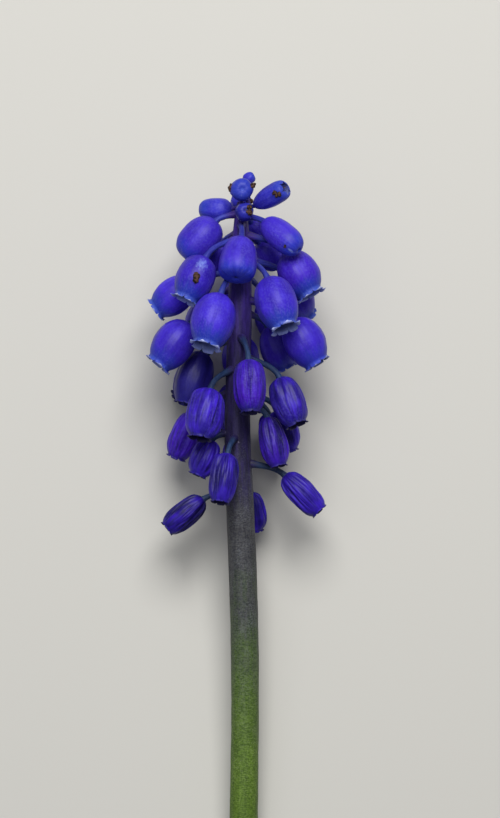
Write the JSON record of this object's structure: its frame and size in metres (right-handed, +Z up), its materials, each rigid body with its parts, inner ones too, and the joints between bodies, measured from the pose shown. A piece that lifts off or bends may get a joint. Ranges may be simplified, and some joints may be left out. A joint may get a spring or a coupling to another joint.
{
  "type": "grape hyacinth",
  "caption": "Single cut grape hyacinth lying down: a straight fleshy stem with a tapering head of small blue-violet urn-shaped bells that hang from short stalks.",
  "frame": {"origin": "on the surface the flower lies on, under the middle of its bounding box", "axes": "+Y along the stem from its cut end towards the tip of the head, +Z up from the surface, towards the side of the head that the picture shows, +X to the right of the head as seen from above"},
  "size_m": [0.0188, 0.0842, 0.0169],
  "materials": {
    "stem": "dull, with a fine waxy bloom",
    "bud": "satin",
    "closed_bell": "satin",
    "open_bell": "satin, with paler teeth",
    "faded_bell": "satin, wrinkled"
  },
  "bodies": {
    "root": {"stem": "stem", "bud_01": "bud", "bud_02": "bud", "bud_03": "bud", "bud_04": "bud", "bud_05": "bud", "bud_06": "bud", "closed_bell_01": "closed_bell", "closed_bell_02": "closed_bell", "closed_bell_03": "closed_bell", "closed_bell_04": "closed_bell", "closed_bell_05": "closed_bell", "closed_bell_06": "closed_bell", "closed_bell_07": "closed_bell", "open_bell_01": "open_bell", "open_bell_02": "open_bell", "open_bell_03": "open_bell", "open_bell_04": "open_bell", "open_bell_05": "open_bell", "open_bell_06": "open_bell", "open_bell_07": "open_bell", "open_bell_08": "open_bell", "open_bell_09": "open_bell", "open_bell_10": "open_bell", "open_bell_11": "open_bell", "open_bell_12": "open_bell", "open_bell_13": "open_bell", "open_bell_14": "open_bell", "faded_bell_01": "faded_bell", "faded_bell_02": "faded_bell", "faded_bell_03": "faded_bell", "faded_bell_04": "faded_bell", "faded_bell_05": "faded_bell", "faded_bell_06": "faded_bell", "faded_bell_07": "faded_bell", "faded_bell_08": "faded_bell", "faded_bell_09": "faded_bell", "faded_bell_10": "faded_bell", "faded_bell_11": "faded_bell", "faded_bell_12": "faded_bell", "faded_bell_13": "faded_bell", "faded_bell_14": "faded_bell", "faded_bell_15": "faded_bell"}
  },
  "joints": []
}
